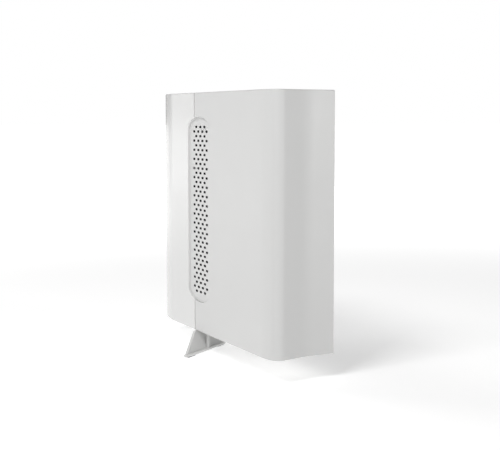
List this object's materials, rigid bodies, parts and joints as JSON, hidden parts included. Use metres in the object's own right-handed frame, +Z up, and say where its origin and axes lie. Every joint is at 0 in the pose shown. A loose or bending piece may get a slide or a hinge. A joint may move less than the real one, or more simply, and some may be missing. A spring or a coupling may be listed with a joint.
{
  "type": "wireless router",
  "caption": "Upright slab network router with a perforated side vent, rear socket row and two diagonal blade legs.",
  "frame": {"origin": "on the floor, at the centre of the overall box", "axes": "+Z up; the broad vent face looks towards -Y; the sockets look towards +Y; the rounded nose of the end cover is at -X"},
  "size_m": [0.25, 0.097, 0.2184],
  "materials": {
    "shell_plastic": "fine satin moulded, cool white",
    "cover_plastic": "polished white",
    "dark_plastic": "fine matte, charcoal",
    "soft_rubber": "matte grey",
    "steel": "zinc plated",
    "aluminium": "as extruded",
    "board_laminate": "green solder mask",
    "chip_plastic": "moulded epoxy",
    "light_pipe": "milky translucent"
  },
  "bodies": {
    "router": {"antenna_cover_1": "board_laminate", "antenna_cover_2": "board_laminate", "antenna_front_1": "board_laminate", "antenna_front_2": "board_laminate", "board_screw_1": "steel", "board_screw_2": "steel", "board_screw_3": "steel", "board_screw_4": "steel", "capacitor_1": "chip_plastic", "capacitor_2": "chip_plastic", "capacitor_3": "chip_plastic", "dc_jack": "dark_plastic", "end_cover": "cover_plastic", "heatsink": "aluminium", "heatsink_screw_1": "steel", "heatsink_screw_2": "steel", "jack_lan_1": "dark_plastic", "jack_lan_2": "dark_plastic", "jack_lan_3": "dark_plastic", "jack_wan": "dark_plastic", "leg_front": "shell_plastic", "leg_pad_front_1": "soft_rubber", "leg_pad_front_2": "soft_rubber", "leg_pad_rear_1": "soft_rubber", "leg_pad_rear_2": "soft_rubber", "leg_rear": "shell_plastic", "leg_screw_1": "steel", "leg_screw_2": "steel", "leg_screw_3": "steel", "leg_screw_4": "steel", "light_board": "board_laminate", "line_transformer": "chip_plastic", "main_board": "board_laminate", "main_shell": "shell_plastic", "memory_chip_1": "chip_plastic", "memory_chip_2": "chip_plastic", "pair_board": "board_laminate", "pair_switch": "chip_plastic", "panel_screw_1": "steel", "panel_screw_2": "steel", "panel_screw_3": "steel", "panel_screw_4": "steel", "port_bezel": "dark_plastic", "power_switch": "chip_plastic", "processor": "chip_plastic", "rear_panel": "shell_plastic", "reset_switch": "chip_plastic", "seam_gasket": "soft_rubber", "shield_can_1": "steel", "shield_can_2": "steel", "status_light": "light_pipe", "thermal_pad": "soft_rubber", "vent_grille": "shell_plastic", "vent_screen": "dark_plastic"},
    "power_cap": {"power_button": "dark_plastic"},
    "reset_plunger": {"reset_button": "dark_plastic"},
    "pair_cap": {"pair_button": "cover_plastic"}
  },
  "joints": [
    {"name": "power_press", "type": "slide", "parent": "router", "child": "power_cap", "axis": [0, -1, 0], "range_m": [0, 0.002], "stiffness_N_per_m": 900, "springref_m": -0.0005},
    {"name": "reset_press", "type": "slide", "parent": "router", "child": "reset_plunger", "axis": [0, -1, 0], "range_m": [0, 0.0008], "stiffness_N_per_m": 1500, "springref_m": -0.0005},
    {"name": "pair_press", "type": "slide", "parent": "router", "child": "pair_cap", "axis": [0, 0, -1], "range_m": [0, 0.0008], "stiffness_N_per_m": 1500, "springref_m": -0.0005}
  ]
}
